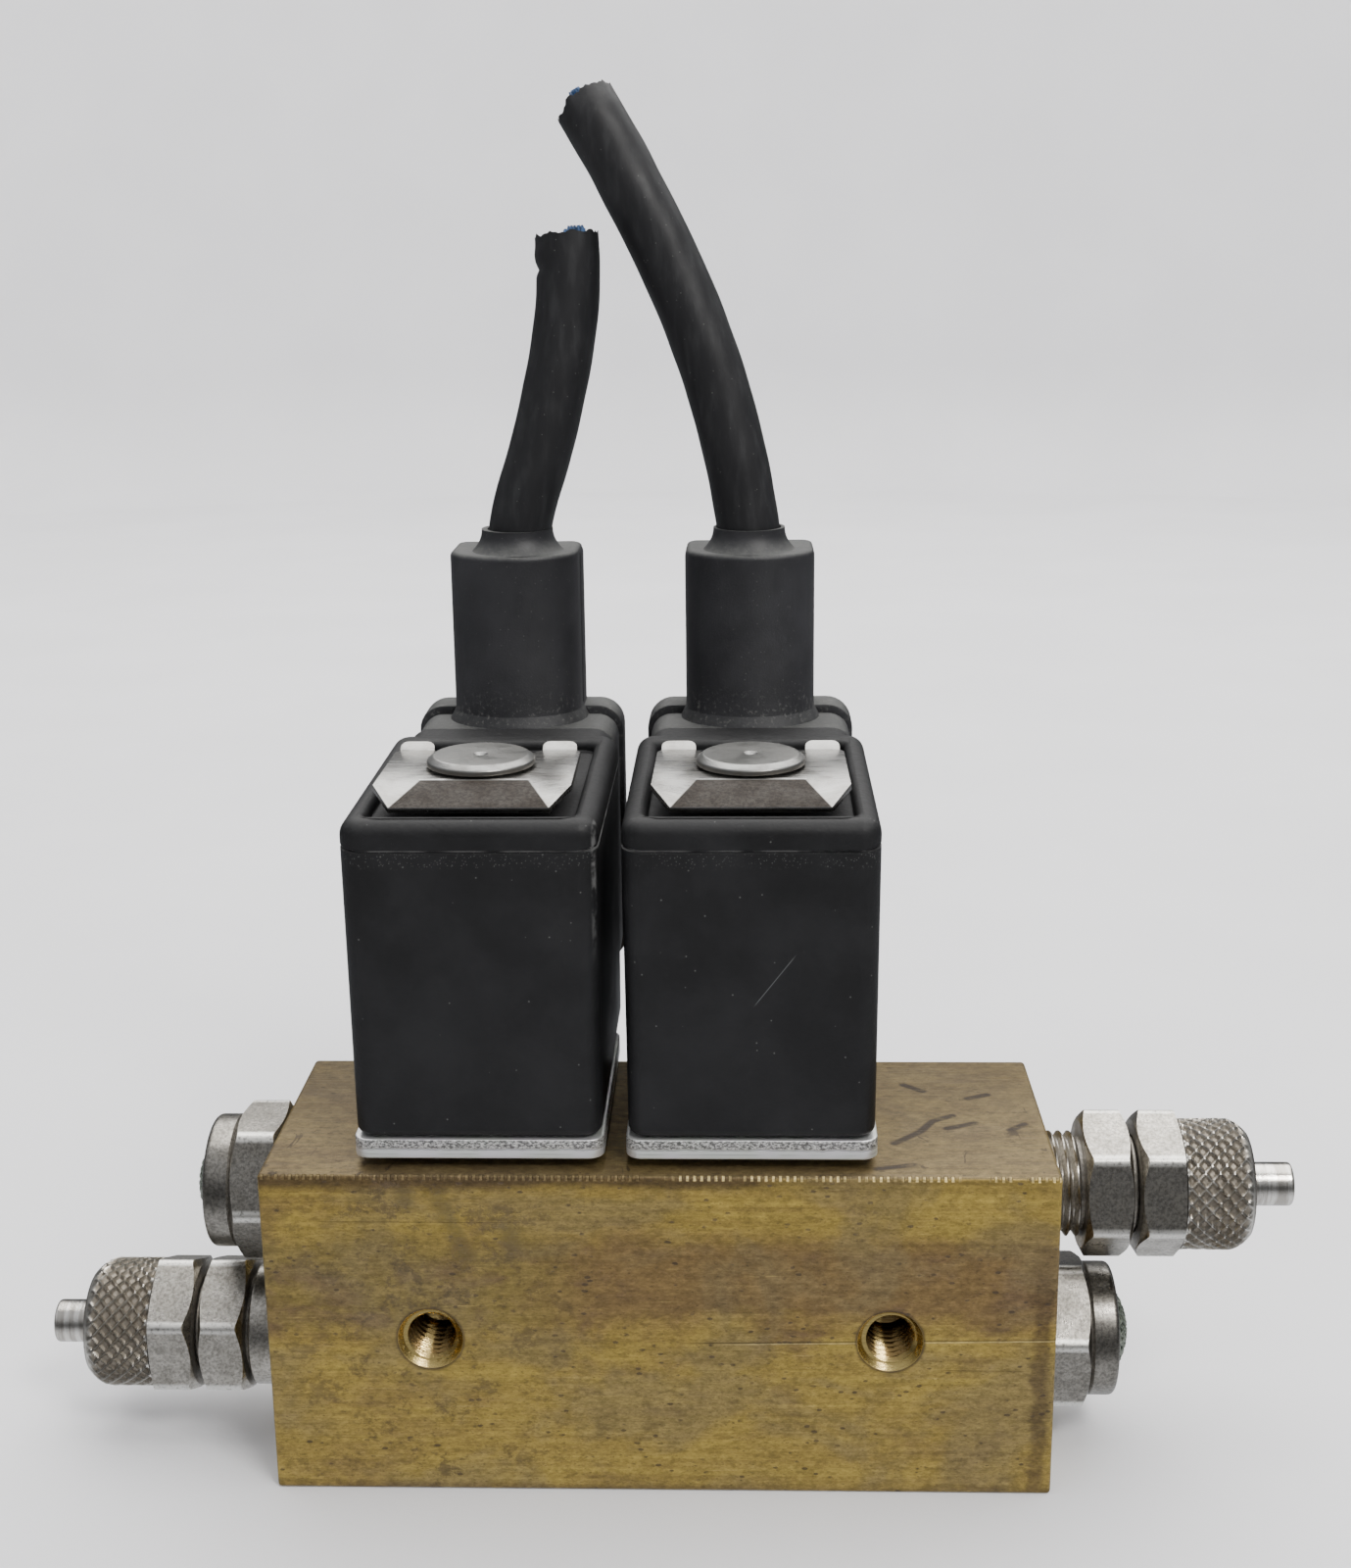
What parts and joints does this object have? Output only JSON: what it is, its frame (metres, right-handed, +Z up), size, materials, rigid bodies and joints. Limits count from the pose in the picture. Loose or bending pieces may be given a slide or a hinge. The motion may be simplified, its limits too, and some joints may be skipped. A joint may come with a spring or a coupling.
{
  "type": "solenoid directional valve",
  "caption": "Brass pneumatic manifold block with side-by-side solenoid valves, clip-held coils, plug-in cable connectors, push-on tube fittings and exhaust silencers.",
  "frame": {"origin": "centre of the manifold block's flat bottom face", "axes": "+X along the block towards the high tube fitting, +Y from the drilled front face towards the cable connectors, +Z up towards the coils"},
  "size_m": [0.1164, 0.0539, 0.124],
  "materials": {
    "brass": "drawn bar, sawn and lightly machined, oiled and stained",
    "nickel": "satin nickel plating",
    "zinc": "bright zinc-plated sheet steel",
    "steel": "turned stainless magnetic steel",
    "spring_steel": "bright drawn wire and sheet",
    "coil_plastic": "black moulding with a satin skin and grey dust",
    "connector_plastic": "black moulding, dusty on top",
    "cable_jacket": "black extruded jacket, satin",
    "seal_rubber": "black rubber, matt",
    "copper": "enamelled copper wire",
    "bobbin_nylon": "natural nylon",
    "wire_mesh": "woven wire cloth, dull grey-green"
  },
  "bodies": {
    "manifold": {"manifold_block": "brass", "armature_tube_left": "steel", "fixed_core_left": "steel", "tube_o_ring_left": "seal_rubber", "plunger_spring_left": "spring_steel", "fitting_body_left": "nickel", "silencer_body_left": "nickel", "silencer_mesh_left": "wire_mesh", "armature_tube_right": "steel", "fixed_core_right": "steel", "tube_o_ring_right": "seal_rubber", "plunger_spring_right": "spring_steel", "fitting_body_right": "nickel", "silencer_body_right": "nickel", "silencer_mesh_right": "wire_mesh"},
    "plunger_left": {"plunger_left": "steel", "seat_seal_left": "seal_rubber"},
    "coil_left": {"coil_casing_left": "coil_plastic", "bobbin_left": "bobbin_nylon", "winding_left": "copper", "yoke_left": "zinc", "power_blade_1_left": "zinc", "power_blade_2_left": "zinc", "earth_blade_left": "zinc", "connector_gasket_left": "seal_rubber", "connector_left": "connector_plastic", "connector_screw_left": "zinc", "cable_left": "cable_jacket"},
    "clip_left": {"retaining_clip_left": "spring_steel"},
    "nut_left": {"union_nut_left": "nickel"},
    "plunger_right": {"plunger_right": "steel", "seat_seal_right": "seal_rubber"},
    "coil_right": {"coil_casing_right": "coil_plastic", "bobbin_right": "bobbin_nylon", "winding_right": "copper", "yoke_right": "zinc", "power_blade_1_right": "zinc", "power_blade_2_right": "zinc", "earth_blade_right": "zinc", "connector_gasket_right": "seal_rubber", "connector_right": "connector_plastic", "connector_screw_right": "zinc", "cable_right": "cable_jacket"},
    "clip_right": {"retaining_clip_right": "spring_steel"},
    "nut_right": {"union_nut_right": "nickel"}
  },
  "joints": [
    {"name": "plunger_lift_left", "type": "slide", "parent": "manifold", "child": "plunger_left", "axis": [0, 0, 1], "range_m": [0, 0.0012], "stiffness_N_per_m": 300, "springref_m": -0.004, "deforming": ["plunger_spring_left"]},
    {"name": "coil_swivel_left", "type": "hinge", "parent": "manifold", "child": "coil_left", "pos_m": [-0.0157, 0, 0.0319], "axis": [0, 0, 1], "range_deg": [-1.5, 8]},
    {"name": "clip_pull_left", "type": "slide", "parent": "manifold", "child": "clip_left", "axis": [0, -1, 0], "range_m": [0, 0.016]},
    {"name": "nut_turn_left", "type": "hinge", "parent": "manifold", "child": "nut_left", "pos_m": [-0.045, 0, 0.0094], "axis": [-1, 0, 0], "continuous": true},
    {"name": "plunger_lift_right", "type": "slide", "parent": "manifold", "child": "plunger_right", "axis": [0, 0, 1], "range_m": [0, 0.0012], "stiffness_N_per_m": 300, "springref_m": -0.004, "deforming": ["plunger_spring_right"]},
    {"name": "coil_swivel_right", "type": "hinge", "parent": "manifold", "child": "coil_right", "pos_m": [0.0082, 0, 0.0319], "axis": [0, 0, 1], "range_deg": [-8, 1.5]},
    {"name": "clip_pull_right", "type": "slide", "parent": "manifold", "child": "clip_right", "axis": [0, -1, 0], "range_m": [0, 0.016]},
    {"name": "nut_turn_right", "type": "hinge", "parent": "manifold", "child": "nut_right", "pos_m": [0.045, 0, 0.0243], "axis": [1, 0, 0], "continuous": true}
  ]
}
